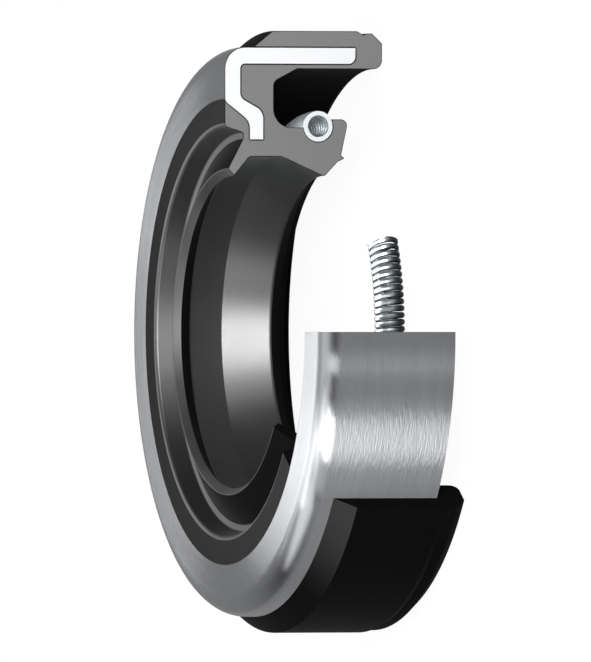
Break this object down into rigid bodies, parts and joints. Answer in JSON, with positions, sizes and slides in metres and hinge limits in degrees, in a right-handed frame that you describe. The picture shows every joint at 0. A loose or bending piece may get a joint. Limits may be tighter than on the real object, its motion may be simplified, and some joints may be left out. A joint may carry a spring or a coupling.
{
  "type": "radial shaft seal",
  "caption": "Rotary shaft seal with a rubber-covered steel case, a spring-loaded sealing lip and a dust lip, cut open in steps to show its section.",
  "frame": {"origin": "on the seal's axis, in the plane of the rubber rim's flat end on the oil side", "axes": "+Z along the shaft, out through the air side's flat steel face; +Y through the common section plane of case, rubber and spring; +X towards the steps of the cut-away"},
  "size_m": [0.0343, 0.0352, 0.0098],
  "materials": {
    "case_steel": "drawn sheet steel with fine brushing round the axis",
    "seal_rubber": "smooth moulded nitrile rubber, satin",
    "spring_wire": "bright drawn spring wire"
  },
  "bodies": {
    "root": {"steel_case": "case_steel", "rubber_body": "seal_rubber", "garter_spring": "spring_wire"}
  },
  "joints": []
}
